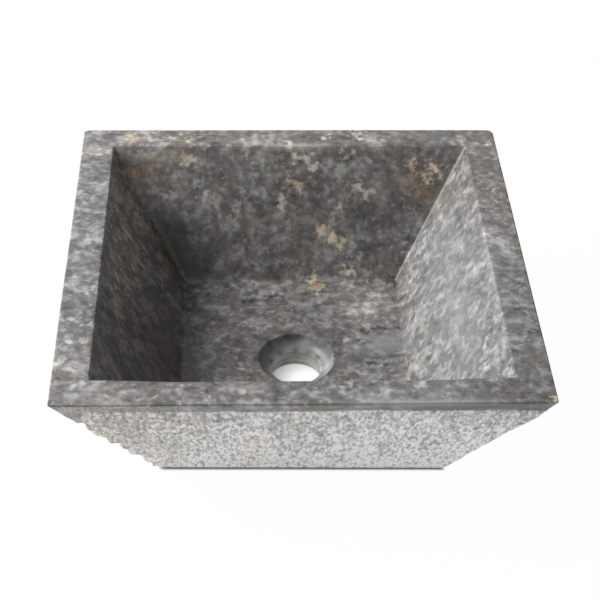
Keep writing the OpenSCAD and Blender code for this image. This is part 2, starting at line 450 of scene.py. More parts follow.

# Other minerals and colour patches, with painted highlights on two lips, in the order in which
# they are laid over each other: name, colour, form, and the rows of the patches
LAID_OVER = (
    (
        "warm_tone", "#5a4433", Form.SOFT,
        (-148, 157, 122, 40, 0.5), (-100, 163, 134, 30, 0.25), (124, 152, 114, 42, 0.6),
        (150, 142, 112, 24, 0.35),
    ),
    (
        "cool_tone", "#7b7c7d", Form.SOFT,
        (87, 6, 33, 28, 0.85, 1.4, 0.8), (110, -186, 145, 22, 0.5, 1.2, 0.6),
    ),
    (
        "cream_tone", "#b5aca1", Form.SOFT,
        (-184, 163, 145, 22, 0.5, 1.2, 0.8), (-154, 183, 145, 16, 0.65, 1.3, 0.7),
        (-114, 165, 137, 26, 0.35, 1.6, 0.6, 0.5),
    ),
    (
        "bluish_tone", "#787a7b", Form.SOFT,
        (146, -20, 92, 130, 0.5, 0.45, 2.2), (146, 90, 110, 90, 0.45, 0.45, 1.2, 1.2),
    ),
    (
        "drain_tone", "#7c7d7f", Form.SOFT,
        (2, -11, 24, 42, 2.2, 1, 1, 0.8),
    ),
    # Pale arrises: dust and wear on the front rim's arris, and painted highlights on the back lip and
    # the right lip.
    (
        "dusty_arris", "#a09e9a", Form.SOFT,
        (100, -200, 144, 7, 0.9, 15), (-150, -200, 144, 6, 0.5, 9), (10, 171, 144, 5, 0.8, 10),
        (169, -40, 143, 4, 0.5, 1.2, 34, 1.6),
    ),
    (
        "dark_seam", "#33312f", Form.RAGGED,
        (-38, 71, 33, 9, 0.85, 1.8), (-16, 80, 33, 8, 0.85, 2.2), (68, 26, 33, 9),
        (84, 30, 33, 6, 1.1, 2.4), (98, 29, 33, 5, 1, 1.6), (64, 12, 33, 8, 0.8, 1, 1.4),
        (68, -20, 33, 6, 1, 1.8), (82, -22, 33, 6, 1, 2), (98, 98, 33, 12, 0.8),
        (193, -195, 145, 5),
    ),
    (
        "grey_swirl", "#999b9d", Form.RAGGED,
        (-89, 152, 115, 12), (-24, 159, 126, 10, 0.9, 0.7, 1, 1.3), (-35, 155, 120, 10, 0.8),
        (-72, 143, 100, 11, 0.9), (-51, 142, 98, 10, 0.8), (-43, 147, 106, 10, 0.8),
        (-58, 130, 79, 11, 0.8), (-26, 146, 105, 9, 0.8), (38, 162, 131, 11, 0.9),
        (46, 158, 124, 10, 0.9), (44, 139, 93, 10, 0.8), (61, 124, 69, 10, 0.8),
        (36, 147, 106, 9, 0.8), (70, 115, 54, 9, 0.7), (60, 110, 46, 10, 0.7),
        (0, 131, 80, 11, 0.7), (-69, 113, 50, 9, 0.8), (-75, 157, 124, 10, 0.7),
        (-101, 135, 87, 10, 0.8), (-97, 127, 74, 9, 0.8),
    ),
    (
        "tool_streak", "#c4bfb8", Form.SOFT,
        (-152, 67, 114, 3, 0.9, 5, 1, 5), (-139, 77, 95, 3, 0.8, 4, 1, 4),
        (-140, 48, 95, 3, 1, 5, 1, 5), (-124, 62, 69, 3, 0.9, 4, 1, 4),
        (-150, -4, 112, 3, 0.6, 5, 1, 5),
    ),
    (
        "white_calcite", "#aaa8a4", Form.RAGGED,
        (85, 179, 145, 12), (180, 12, 145, 13), (187, -1, 145, 9, 0.8), (169, 23, 144, 10, 0.8),
        (-81, 6, 33, 7), (-73, 15, 33, 8), (-66, 24, 33, 7), (-56, 33, 33, 7, 0.9),
        (-44, 38, 33, 8, 0.8, 1.4, 0.8), (-26, 33, 33, 8, 1, 1.5, 0.8), (49, 12, 33, 8, 0.9),
        (-48, -22, 33, 10, 0.7), (-182, -178, 145, 6, 0.8), (-174, -174, 145, 6, 0.8),
        (-182, 17, 145, 8, 0.9, 1.4), (-189, -123, 145, 5), (-177, -121, 145, 6, 0.9),
        (-195, -149, 145, 6, 1.1, 1.3, 0.8), (-184, -157, 145, 7, 1, 1.3, 0.8),
        (-186, -94, 145, 7, 0.8, 1.6, 0.8), (-108, -180, 145, 8, 0.6), (-79, -185, 145, 7, 0.65),
        (-50, -184, 145, 7, 0.8), (-95, -197, 145, 8, 0.5), (93, -178, 145, 10, 0.9),
        (29, -182, 145, 10, 0.5), (114, -193, 145, 7, 0.8), (57, -31, 33, 14, 0.6),
        (157, -99, 123, 10, 0.8), (153, -126, 116, 11, 0.8), (167, -157, 141, 9, 0.7),
        (-121, 146, 105, 11, 0.6), (-83, 143, 101, 16, 0.6), (-49, 140, 95, 12, 0.6),
    ),
    (
        "pink_calcite", "#d2c6bb", Form.RAGGED,
        (0, 176, 145, 11, 0.7), (5, 165, 136, 11), (17, 164, 135, 9),
        (21, 160, 129, 11, 1, 0.8, 1, 1.3), (-8, 142, 98, 10, 1, 0.7, 1, 1.3),
        (36, 185, 145, 12, 0.7), (65, 192, 145, 11, 0.65), (70, 185, 145, 9, 0.65),
        (55, 167, 140, 11, 0.7), (66, 149, 110, 13, 0.8), (75, 146, 105, 11, 0.8),
        (-182, 163, 145, 16, 0.45), (-100, 163, 134, 15, 0.6), (-117, 190, 145, 18, 0.38),
        (-136, 186, 145, 18, 0.38), (-102, 184, 145, 13, 0.4), (165, 179, 145, 12, 0.6),
        (194, 172, 145, 13, 0.5), (118, 161, 129, 10, 0.7),
    ),
    (
        "yellow_limonite", "#cfc1a6", Form.RAGGED,
        (2, 152, 115, 9), (9, 149, 110, 9), (31, 128, 75, 10), (40, 124, 69, 10),
        (48, 120, 63, 9, 0.9), (46, 139, 94, 9, 0.6), (57, 108, 42, 13, 0.6),
        (139, 157, 123, 16, 0.7), (131, 154, 119, 13, 0.7), (23, 104, 35, 10), (26, 90, 33, 12),
        (-155, 183, 145, 11, 0.55), (198, -197, 144, 7, 1.3),
    ),
    (
        "rusty_seam", "#a0805f", Form.RAGGED,
        (-154, 157, 122, 9), (-135, 158, 125, 10, 0.55), (-126, 162, 132, 11, 0.6),
        (-101, 164, 135, 10, 0.5), (-166, 161, 138, 9, 0.6), (25, 95, 33, 9),
        (124, 147, 106, 16, 0.4), (116, 158, 125, 11, 0.5, 0.7, 1, 1.6),
    ),
)
INCLUSIONS = tuple(
    Inclusion(name, colour, form, Patch.table(*rows)) for name, colour, form, *rows in LAID_OVER
)


@dataclass(frozen=True)
class Noise:
    """A scattered pattern: the size of its features in millimetres, and how it is broken up."""

    size: float
    detail: float = 2.0
    roughness: float = 0.5

    def at(self, place: Socket) -> Links:
        """Values and links of its texture, read at a place."""
        scale = 1 / (self.size * MM)
        return {"Vector": place, "Scale": scale, "Detail": self.detail, "Roughness": self.roughness}


@dataclass(frozen=True)
class Span:
    """Two levels of a value, and what they become, with a straight line between them."""

    low: float
    high: float
    start: float = 0.0
    end: float = 1.0

    def of(self, value: Socket) -> Links:
        """Values and links of the node that maps a value."""
        return value, self.low, self.high, self.start, self.end


@dataclass(frozen=True)
class Figure:
    """A pattern whose levels become something else, such as a share or a factor."""

    noise: Noise
    span: Span

    def share(self, add: Adder, place: Socket) -> Socket:
        """What the pattern gives at a place, by two nodes."""
        return add("MapRange", self.span.of(add("TexNoise", self.noise.at(place))[0]))[0]


@dataclass(frozen=True)
class Cloud:
    """One layer of the mottling: its pattern, its squeeze along the axes and its share."""

    noise: Noise
    squeeze: Triple
    share: float


@dataclass(frozen=True)
class Fleck:
    """One layer of pale flecks: where each one shows, and where they stand in groups."""

    shown: Figure
    grouped: Figure


GROUPS = Span(0.46, 0.64, 0.15, 1.0)


@dataclass(frozen=True)
class Ramp:
    """Three colours along a value, each with its level and an sRGB hex colour."""

    first: tuple[float, str]
    between: tuple[float, str]
    last: tuple[float, str]

    def spread(self, stops: bpy.types.ColorRampElements) -> None:
        """Sets the stops of a colour ramp.

        Args:
            stops: The ramp's stops, of which there are two from the start.
        """
        for stop, (level, colour) in zip(stops, (self.first, self.last)):
            stop.position, stop.color = level, linear(colour)
        stops.new(self.between[0]).color = linear(self.between[1])


@dataclass(frozen=True)
class VeinedMarble:
    """Grey bedded marble from a block, ground and honed by hand, and bush-hammered on its flanks.

    The honed stone shows its figure at full depth with a soft, broken sheen. The hammer crushes the
    crystals, which turns the flanks pale and dry with small dark pits. Towards the foot the flanks
    are lighter still, which is painted light from the floor.
    """

    name: str = "marble_honed_and_bush_hammered"
    ior: float = 1.49
    sheen: float = 0.35
    honed: Ramp = Ramp((0.25, "#3c3a38"), (0.5, "#686664"), (0.8, "#a9a7a4"))
    crushed: Ramp = Ramp((0.33, "#939290"), (0.47, "#bfbdba"), (0.62, "#eeedeb"))
    fleck: str = "#bab8b5"
    brown: str = "#5f584f"
    drilled: str = "#a7a8a2"
    drilled_share: float = 0.8
    palest: Triple = (0.9, 0.89, 0.88)
    dull: float = 0.9
    polish: Span = Span(0.3, 0.7, 0.34, 0.5)
    grain: Noise = Noise(2.2, 3.0)
    grain_depth: float = 0.05 * MM
    pit_depth: float = 1.2 * MM
    bend: float = 5 * MM
    fold: Noise = Noise(45)
    bed_tilt: Triple = (0.1, 0.12, 0.06)
    clouds: tuple[Cloud, ...] = (
        Cloud(Noise(60), (1.0, 1.2, 1.0), 0.3),
        Cloud(Noise(18), (1.0, 1.2, 1.0), 0.55),
        Cloud(Noise(7.5), (1.0, 1.0, 1.0), 0.65),
        Cloud(Noise(3.4, 1.0), (1.0, 1.0, 1.0), 0.22),
        Cloud(Noise(10, 1.0), (0.6, 1.7, 0.6), 0.2),
    )
    stain: Figure = Figure(Noise(26, 3.0), Span(0.48, 0.7, 0.0, 0.35))
    flecks: tuple[Fleck, ...] = (
        Fleck(Figure(Noise(4.5), Span(0.58, 0.68, 0.0, 0.5)), Figure(Noise(34), GROUPS)),
        Fleck(Figure(Noise(9), Span(0.6, 0.7, 0.0, 0.4)), Figure(Noise(50), GROUPS)),
    )
    drill_squeeze: Triple = (0.05, 0.05, 1.0)
    drill_rings: Figure = Figure(Noise(2.5), Span(0.35, 0.65, 0.65, 1.25))
    ragged: Figure = Figure(Noise(5.5, 2.2), Span(0.3, 0.7))
    cloudy: Span = Span(0.3, 0.7, 0.72, 1.2)
    inside: Span = Span(0.8, 1.3)
    ends: Span = Span(0.0, 0.25, 0.0, 0.85)
    mark_squeeze: Triple = (1.0, 1.0, 0.45)
    marks: Noise = Noise(2.8, 3.0, 0.68)
    scars: Figure = Figure(Noise(5, 1.0), Span(0.3, 0.42, 0.7, 1.0))
    clusters: Figure = Figure(Noise(13), Span(0.3, 0.7, 0.88, 1.12))
    # Painted light: the hammered flanks grow lighter towards the foot, as if lit by the floor.
    painted_bounce_light: Span = Span(10 * MM, 120 * MM, 1.38, 1.0)
    tint: Span = Span(0.3, 0.7, 0.9, 1.08)
    warming: Triple = (0.06, 0.0, -0.07)
    darkest: float = 0.25
    # Patches of the stone's own lighter and darker colour and of painted light and shade.
    tones_and_painted_light: tuple[ToneAndPaintedLight, ...] = TONES_AND_PAINTED_LIGHT
    inclusions: tuple[Inclusion, ...] = INCLUSIONS

    def material(self) -> bpy.types.Material:
        """Builds the material, which reads the places of the inclusions and of the hammering.

        Returns:
            The material, with its node tree.
        """
        made = bpy.data.materials.new(self.name)
        add = adder(made)
        here = add("TexCoord", {})["Object"]
        bent = self._bent(add, here)
        mottle = self._mottle(add, bent)
        honed = self._figure(add, here, bent, mottle)
        ragged = self.ragged.share(add, here)
        cloudy = add("MapRange", self.cloudy.of(mottle))[0]
        for inclusion in self.inclusions:
            honed = self._included(add, honed, ragged, cloudy, inclusion)
        honed = self._drilled(add, here, honed)
        crushed, marks = self._crushed(add, here, mottle)
        mask = add("Attribute", {}, attribute_name="crushed")["Fac"]
        colour = add("Mix", {0: mask, 6: honed, 7: crushed}, data_type="RGBA")[2]
        # Multiplies in the patches' factors: the stone's own lighter and darker places, and painted
        # light and shade.
        tone = add("Attribute", {}, attribute_name="tone")["Vector"]
        colour = add("VectorMath", (colour, tone), operation="MULTIPLY")[0]
        polish = add("MapRange", self.polish.of(mottle))[0]
        rubbed = add("Attribute", {}, attribute_name="rubbed")["Fac"]
        dull = add("Math", (mask, rubbed), operation="MAXIMUM")[0]
        rough = add("Mix", {0: dull, 2: polish, 3: self.dull}, data_type="FLOAT")[0]
        grain = add("TexNoise", self.grain.at(here))[0]
        low = add("Math", (grain, self.grain_depth), operation="MULTIPLY")[0]
        deep = add("Math", (marks, self.pit_depth), operation="MULTIPLY")[0]
        relief = add("Mix", {0: mask, 2: low, 3: deep}, data_type="FLOAT")[0]
        bump = add("Bump", {"Height": relief, "Distance": 1.0, "Strength": 1.0})[0]
        surface = {
            "Base Color": colour,
            "Roughness": rough,
            "IOR": self.ior,
            "Specular IOR Level": self.sheen,
            "Normal": bump,
        }
        add("OutputMaterial", {"Surface": add("BsdfPrincipled", surface)[0]})
        return made

    def tone(self, points: Array) -> Array:
        """Factors on the stone's red, green and blue at each point.

        They are 1 plus the patches' strengths, but never under the darkest, times a hue that each
        unit of warmth makes a little redder and less blue. The patches hold painted light and shade
        as well as the stone's own lighter and darker places.

        Args:
            points: Places in metres, with 3 in the last axis.

        Returns:
            Three factors for each point.
        """
        shares = np.sum([tone.shares(points) for tone in self.tones_and_painted_light], axis=0)
        level = np.maximum(1 + shares[..., :1], self.darkest)
        return level * (1 + shares[..., 1:] * np.array(self.warming))

    def _bent(self, add: Adder, here: Socket) -> Socket:
        """Bends the coordinates by a soft noise, so that the beds of the stone fold a little.

        Args:
            add: What adds a node to the tree.
            here: Object coordinates.

        Returns:
            The bent coordinates.
        """
        fold = add("TexNoise", self.fold.at(here))[1]
        around = add("VectorMath", (fold, (0.5, 0.5, 0.5)), operation="SUBTRACT")[0]
        pushed = add("VectorMath", {0: around, "Scale": 2 * self.bend}, operation="SCALE")[0]
        return add("VectorMath", (here, pushed), operation="ADD")[0]

    def _mottle(self, add: Adder, bent: Socket) -> Socket:
        """Sums up clouds, mottling, speckle, and streaks in upright beds.

        Args:
            add: What adds a node to the tree.
            bent: Coordinates that follow the beds.

        Returns:
            Share of light crystal, about a half all over.
        """
        total = 0.5
        for cloud in self.clouds:
            laid = {"Vector": bent, "Rotation": self.bed_tilt, "Scale": cloud.squeeze}
            noise = add("TexNoise", cloud.noise.at(add("Mapping", laid)[0]))[0]
            evened = (noise, cloud.share, -cloud.share / 2)
            part = add("Math", evened, operation="MULTIPLY_ADD")[0]
            total = add("Math", (part, total), operation="ADD")[0]
        return total

    def _figure(self, add: Adder, here: Socket, bent: Socket, mottle: Socket) -> Socket:
        """Colours the honed stone: mottled grey, browner in places, with groups of flecks.

        Args:
            add: What adds a node to the tree.
            here: Object coordinates.
            bent: Coordinates that follow the beds.
            mottle: Share of light crystal.

        Returns:
            The colour.
        """
        grey = add("ValToRGB", {"Fac": mottle})[0]
        self.honed.spread(grey.node.color_ramp.elements)
        stained = {0: self.stain.share(add, bent), 6: grey, 7: linear(self.brown)}
        colour = add("Mix", stained, data_type="RGBA")[2]
        for fleck in self.flecks:
            shares = fleck.shown.share(add, bent), fleck.grouped.share(add, here)
            amount = add("Math", shares, operation="MULTIPLY")[0]
            flecked = {0: amount, 6: colour, 7: linear(self.fleck)}
            colour = add("Mix", flecked, data_type="RGBA")[2]
        return colour

    def _drilled(self, add: Adder, here: Socket, colour: Socket) -> Socket:
        """Lays the bore's dull powdery stone over a colour, with level rings from the drill.

        Args:
            add: What adds a node to the tree.
            here: Object coordinates.
            colour: The colour of the stone elsewhere.

        Returns:
            The colour with the bore's in it.
        """
        flat = add("Mapping", {"Vector": here, "Scale": self.drill_squeeze})[0]
        rings = self.drill_rings.share(add, flat)
        shaded = {0: linear(self.drilled)[:3], "Scale": rings}
        powder = add("VectorMath", shaded, operation="SCALE")[0]
        bored = add("Attribute", {}, attribute_name="drilled")["Fac"]
        amount = add("Math", (bored, self.drilled_share), operation="MULTIPLY")[0]
        return add("Mix", {0: amount, 6: colour, 7: powder}, data_type="RGBA")[2]

    def _included(
        self, add: Adder, colour: Socket, ragged: Socket, cloudy: Socket, inclusion: Inclusion
    ) -> Socket:
        """Lays one inclusion over a colour, evenly, or cloudy and with a ragged edge.

        Args:
            add: What adds a node to the tree.
            colour: What it lies on.
            ragged: Uneven edge for blotches, with bays and spurs a few millimetres wide.
            cloudy: Factor on the colour of a blotch.
            inclusion: The inclusion, whose closeness is an attribute of the mesh.

        Returns:
            The colour with the inclusion in it.
        """
        near = add("Attribute", {}, attribute_name=inclusion.name)["Fac"]
        amount = near
        shade = 1.0
        if inclusion.form is Form.RAGGED:
            level = add("Math", (ragged, 1.0, near), operation="MULTIPLY_ADD")[0]
            inside = add("MapRange", self.inside.of(level))[0]
            ends = add("MapRange", self.ends.of(near))[0]
            amount = add("Math", (inside, ends), operation="MULTIPLY")[0]
            shade = cloudy
        shaded = {0: linear(inclusion.colour)[:3], "Scale": shade}
        own = add("VectorMath", shaded, operation="SCALE")[0]
        return add("Mix", {0: amount, 6: colour, 7: own}, data_type="RGBA")[2]

    def _crushed(self, add: Adder, here: Socket, mottle: Socket) -> tuple[Socket, Socket]:
        """Colours and pits the hammered stone: fine pits, in clusters, with deeper scars.

        Painted light makes the colour lighter towards the foot.

        Args:
            add: What adds a node to the tree.
            here: Object coordinates.
            mottle: Share of light crystal.

        Returns:
            The colour, and the height of the pitting.
        """
        laid_flat = add("Attribute", {}, attribute_name="laid_flat")["Vector"]
        drawn = add("Mapping", {"Vector": laid_flat, "Scale": self.mark_squeeze})[0]
        marks = add("TexNoise", self.marks.at(drawn))[0]
        # Painted light from the floor: lighter towards the foot, by height.
        painted_bounce_light = add("MapRange", self.painted_bounce_light.of(add("SeparateXYZ", (here,))[2]))[0]
        tint = add("MapRange", self.tint.of(mottle))[0]
        for factor in (self.scars.share(add, drawn), self.clusters.share(add, drawn), painted_bounce_light):
            tint = add("Math", (tint, factor), operation="MULTIPLY")[0]
        pale = add("ValToRGB", {"Fac": marks})[0]
        self.crushed.spread(pale.node.color_ramp.elements)
        shaded = add("VectorMath", {0: pale, "Scale": tint}, operation="SCALE")[0]
        return add("VectorMath", (shaded, self.palest), operation="MINIMUM")[0], marks


@dataclass(frozen=True)
class MouldedRubber:
    """Black rubber, moulded flat: matt, with a faint grain and greyer, dustier patches."""

    name: str = "rubber_moulded_matt"
    colour: str = "#2b2b2a"
    dusty: str = "#3b3a38"
    dust: Noise = Noise(9, 4.0)
    grain: Noise = Noise(0.8)
    grain_depth: float = 0.08 * MM
    polish: Span = Span(0.3, 0.7, 0.62, 0.8)

    def material(self) -> bpy.types.Material:
        """Builds the material.

        Returns:
            The material, with its node tree.
        """
        made = bpy.data.materials.new(self.name)
        add = adder(made)
        here = add("TexCoord", {})["Object"]
        dust = add("TexNoise", self.dust.at(here))[0]
        mixed = {0: dust, 6: linear(self.colour), 7: linear(self.dusty)}
        colour = add("Mix", mixed, data_type="RGBA")[2]
        grain = add("TexNoise", self.grain.at(here))[0]
        bump = add("Bump", {"Height": grain, "Distance": self.grain_depth})[0]
        rough = add("MapRange", self.polish.of(dust))[0]
        surface = {"Base Color": colour, "Roughness": rough, "Normal": bump}
        add("OutputMaterial", {"Surface": add("BsdfPrincipled", surface)[0]})
        return made


# Sub-assemblies


@dataclass(frozen=True)
class Relief:
    """One layer of soft swells on a surface: their depth, size and pattern."""

    depth: float
    size: float
    seed: int

    def raised(self, points: Array) -> Array:
        """Height at each point, up to the layer's depth above or below the middle."""
        return self.depth * swell(points, self.size, self.seed)

    def sunk(self, points: Array) -> Array:
        """Depth at each point, from 0 to twice that of the layer."""
        return self.depth * (1 + swell(points, self.size, self.seed))


@dataclass
class CarvedBlock:
    """The basin: one block with a tapered bowl, a dished drain, and hammered flanks.

    Its outline repeats the solid's sizes, and its rim, foot and bore come from the frame.
    """

    foot_half: float = 127 * MM
    base_thickness: float = 30 * MM
    rim_corner: float = 5 * MM
    foot_corner: float = 9 * MM
    rim_arris: float = 1.5 * MM
    foot_arris: float = 1 * MM
    rim_width: float = 30 * MM
    floor_half: float = 102.5 * MM
    floor_fall: float = 2 * MM
    bowl_corner: float = 2 * MM
    cove: float = 3 * MM
    corner_fill: float = 6 * MM
    lip: float = 2 * MM
    seat_radius: float = 34 * MM
    seat_depth: float = 11.5 * MM
    ledge_width: float = 1.5 * MM
    seat_hollow: float = 1.8 * MM
    seat_lip: float = 1.5 * MM
    land_width: float = 3 * MM
    bore_chamfer: float = 1 * MM
    rim_margin: float = 13 * MM
    foot_margin: float = 3 * MM
    foot_blend: float = 1.5 * MM
    hammer_depth: float = 0.4 * MM
    hip_radius: float = 1 * MM
    chip_radius: float = 19.5 * MM
    chips: int = 14
    dressed: tuple[float, ...] = (1.2, 1.0, 0.5, 0.4)
    worn: tuple[float, ...] = (0.6, 0.8, 1.0, 0.3)
    struck: tuple[float, ...] = (0.5, 0.7, 1.0, 0.1)
    rim_chip: float = 0.13
    scatter_steps: tuple[float, float] = (103.0, 311.7)
    scatter_spread: float = 437.585
    foot_shift: float = 1.8 * MM
    foot_back: float = 0.7 * MM
    foot_turn: float = 1.9 * MM
    lip_bow: float = 2.8 * MM
    lip_bow_run: float = 80 * MM
    bites: tuple[Patch, ...] = Patch.table(
        (-177, -177, 101, 8, 3.6), (-178, -178, 104, 5, 2), (-168, -168, 82, 8, -1.6),
        (-161, -161, 73, 5, 1.4), (-158, -158, 66, 6, -2), (-153, -153, 57, 8, 1.8),
        (-148, -148, 49, 7, -1.8), (-143, -143, 39, 6, -3.8), (-140, -140, 30, 7, 3),
        (-136, -136, 25, 5), (-131, -131, 17, 8, -3.6), (184, -184, 112, 32, -1.8),
    )
    pit_depth: float = 0.45 * MM
    pit_size: float = 4.2 * MM
    pit_seed: int = 7
    pit_squeeze: Triple = (1.0, 1.0, 0.4)
    swells: tuple[Relief, ...] = (Relief(0.25 * MM, 7 * MM, 11), Relief(0.2 * MM, 24 * MM, 12))
    waver: Relief = Relief(0.1 * MM, 70 * MM, 31)
    nick_depth: float = 1.2 * MM
    nick_size: float = 7 * MM
    nick_level: float = 0.45
    nick_seed: int = 21
    ring_depth: float = 0.15 * MM
    ring_pitch: float = 0.6 * MM
    strip_width: float = 24 * MM
    field_edge: float = 1.2 * MM
    field_wander: tuple[Relief, ...] = (Relief(0.9 * MM, 15 * MM, 3), Relief(0.6 * MM, 5 * MM, 4))
    sawn_share: float = 0.85
    margin_share: float = 0.4
    margin_start: float = 20 * MM
    margin_run: float = 190 * MM
    quarter: int = 160
    under_stations: int = 4
    edge_stations: int = 2
    flank_stations: int = 62
    arris_stations: int = 5
    rim_stations: int = 8
    arc_stations: int = 4
    wall_stations: int = 24
    floor_stations: int = 14
    land_stations: int = 2
    seat_lip_stations: int = 3
    seat_stations: int = 8
    bore_stations: int = 12
    finish: VeinedMarble = field(default_factory=VeinedMarble)

    def __post_init__(self) -> None:
        """Takes the rim, the foot and the drain from the frame."""
        low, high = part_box("basin")
        self.foot_z = low.z
        self.rim_z = high.z
        self.rim_half = high.x
        bore = next(m for m in frame["record"]["mounts"] if m["name"] == "waste_bore")
        self.bore_radius = bore["dims"]["r_mm"] * MM
        self.drain = np.array(bore["pos_m"][:2])
        self.floor_z = self.foot_z + self.base_thickness
        self.land_z = self.floor_z - self.floor_fall
        self.mouth_half = self.rim_half - self.rim_width

    def flank(self, height: Array | float) -> Array | float:
        """Half side of the block on the plane of the flanks at a height."""
        lean = (self.rim_half - self.foot_half) / (self.rim_z - self.rim_arris - self.foot_z)
        return self.foot_half + lean * (height - self.foot_z)

    def hip_radii(self, height: Array) -> Array:
        """Radii of the block's four corners up the flanks.

        In the hammered fields each hip has its chips: the hip's radius plus the square of a
        scattered number, larger towards the foot, and blended in a straight line from chip to chip.
        Down the foot's margin they go over to the foot's, and up the rim's margin they widen in a
        straight line to those of the rim's corners.

        Args:
            height: Height of each station.

        Returns:
            Radii, stations by 4.
        """
        low = self.foot_z + self.foot_margin + self.hammer_depth
        high = self.rim_z - self.rim_margin - self.hammer_depth
        level = np.clip((height - low) / (high - low), 0, 1) * self.chips
        chip = np.arange(self.chips + 1)
        largest = self.chip_radius * (1 - (1 - self.rim_chip) * chip / self.chips)
        step = self.scatter_steps[0] * chip + self.scatter_steps[1] * np.arange(4)[:, None]
        spread = self.scatter_spread * np.sin(np.radians(step))
        scattered = spread - np.floor(spread)
        struck = self.hip_radius + largest * np.array(self.struck)[:, None] * scattered**2
        radii = np.stack([np.interp(level, chip, along_hip) for along_hip in struck], axis=1)
        to_foot = ease((low - height) / self.foot_blend)[:, None]
        to_rim = np.clip((height - high) / (self.rim_z - self.rim_arris - high), 0, 1)[:, None]
        radii += to_foot * (self.foot_corner * np.array(self.worn) - radii)
        return radii + to_rim * (self.rim_corner * np.array(self.dressed) - radii)

    def stations(self) -> tuple[Array, Array, Array, Array, Array]:
        """Section of the block as a closed line of stations, from the bore outwards and back.

        Returns:
            Half side, height, middle, four corner radii and zone of each station.
        """
        parts = []

        def lay(section: Array, radii: Array, to_drain: Array, zone: Zone) -> None:
            """Adds stations to the line.

            Args:
                section: Half side and height of each.
                radii: Radii of its corners, or one for all.
                to_drain: How far its middle is on the way to the drain, from 0 to 1.
                zone: Kind of surface.
            """
            count = len(section)
            middle = np.broadcast_to(to_drain, count)[:, None] * self.drain
            corners = np.broadcast_to(radii, (count, 4))
            parts.append(np.column_stack([section, middle, corners, np.full(count, zone)]))

        rim_radii = self.rim_corner * np.array(self.dressed)
        foot_radii = self.foot_corner * np.array(self.worn)
        mouth = self.bore_radius + self.bore_chamfer
        foot_edge = self.foot_half - self.foot_arris
        under = run(
            (mouth, self.foot_z, 1, *[mouth] * 4),
            (foot_edge, self.foot_z, 0, *(foot_radii - self.foot_arris)),
            self.under_stations,
        )
        lay(under[:, :2], under[:, 3:], under[:, 2], Zone.UNDERSIDE)

        rise = self.foot_z + self.foot_arris
        edge = run((foot_edge, self.foot_z), (self.flank(rise), rise), self.edge_stations)
        lay(edge, foot_radii - self.foot_arris / 2, 0, Zone.HONED)

        height = np.linspace(rise, self.rim_z - self.rim_arris, self.flank_stations)
        side = np.column_stack([self.flank(height), height])
        lay(side, self.hip_radii(height), 0, Zone.FLANK)

        top = (self.rim_half - self.rim_arris, self.rim_z - self.rim_arris)
        quarter_turn = math.pi / 2
        arris = arc(top, self.rim_arris, 0, quarter_turn, self.arris_stations)
        lay(arris[1:], rim_radii, 0, Zone.ARRIS)

        wall_angle = math.atan((self.mouth_half - self.floor_half) / (self.rim_z - self.floor_z))
        tangent = 1 / math.tan(math.pi / 4 + wall_angle / 2)
        lip_middle = (self.mouth_half + self.lip * tangent, self.rim_z - self.lip)
        cove_middle = (self.floor_half - self.cove * tangent, self.floor_z + self.cove)
        flat = run(
            (self.rim_half - self.rim_arris, self.rim_z, *rim_radii),
            (lip_middle[0], self.rim_z, *[self.bowl_corner] * 4),
            self.rim_stations,
        )
        lay(flat[:, :2], flat[:, 2:], 0, Zone.HONED)
        bends = self.arc_stations
        lip = arc(lip_middle, self.lip, quarter_turn, math.pi - wall_angle, bends)
        lay(lip, self.bowl_corner, 0, Zone.ARRIS)
        cove = arc(cove_middle, self.cove, -wall_angle, -quarter_turn, bends)
        wall_top = (
            lip_middle[0] - self.lip * math.cos(wall_angle),
            lip_middle[1] + self.lip * math.sin(wall_angle),
        )
        wall = run(wall_top, tuple(cove[0]), self.wall_stations)
        bulge = np.sin(math.pi * np.arange(len(wall)) / len(wall))[:, None]
        filled = self.corner_fill * bulge * np.array([0, 1, 0, 0])
        lay(wall, self.bowl_corner + filled, 0, Zone.HONED)
        lay(cove, self.bowl_corner, 0, Zone.HONED)

        land = self.seat_radius + self.seat_lip + self.land_width
        foot_of_wall = (cove_middle[0], self.floor_z, 0, self.bowl_corner)
        floor = run(foot_of_wall, (land, self.land_z, 1, land), self.floor_stations)
        lay(floor[:, :2], floor[:, 3:], floor[:, 2], Zone.HONED)
        for section, zone in self._drain_runs(land):
            lay(section, section[:, :1], 1, zone)

        table = np.concatenate(parts)
        return table[:, 0], table[:, 1], table[:, 2:4], table[:, 4:8], table[:, 8]

    def _drain_runs(self, land: float) -> list[tuple[Array, Zone]]:
        """Stretches of the section down the drain, whose rings are circles.

        The seat's wall is a straight cone from the lip to the ledge, hollowed along a parabola.

        Args:
            land: Radius of the level land round the drain.

        Returns:
            Half sides and heights, and the kind of surface, of each stretch.
        """
        lip_foot = (self.seat_radius, self.land_z - self.seat_lip)
        ledge = (self.bore_radius + self.ledge_width, self.land_z - self.seat_depth)
        slope = np.array(ledge) - np.array(lip_foot)
        out = np.array([-slope[1], slope[0]]) / np.linalg.norm(slope)
        t = run((0.0,), (1.0,), self.seat_stations)
        wall = run(lip_foot, ledge, self.seat_stations) + 4 * self.seat_hollow * t * (1 - t) * out
        lip_edge = (self.seat_radius + self.seat_lip, self.land_z)
        lip_middle = (lip_edge[0], self.land_z - self.seat_lip)
        rounded = arc(lip_middle, self.seat_lip, math.pi / 2, math.pi, self.seat_lip_stations)
        bore_top = (self.bore_radius, self.land_z - self.seat_depth)
        bore_end = (self.bore_radius, self.foot_z + self.bore_chamfer)
        mouth = (self.bore_radius + self.bore_chamfer, self.foot_z)
        return [
            (run((land, self.land_z), lip_edge, self.land_stations), Zone.HONED),
            (rounded, Zone.ARRIS),
            (wall, Zone.HONED),
            (run(ledge, bore_top, 1), Zone.ARRIS),
            (run(bore_top, bore_end, self.bore_stations), Zone.BORE),
            (run(bore_end, mouth, 1), Zone.BORE),
        ]

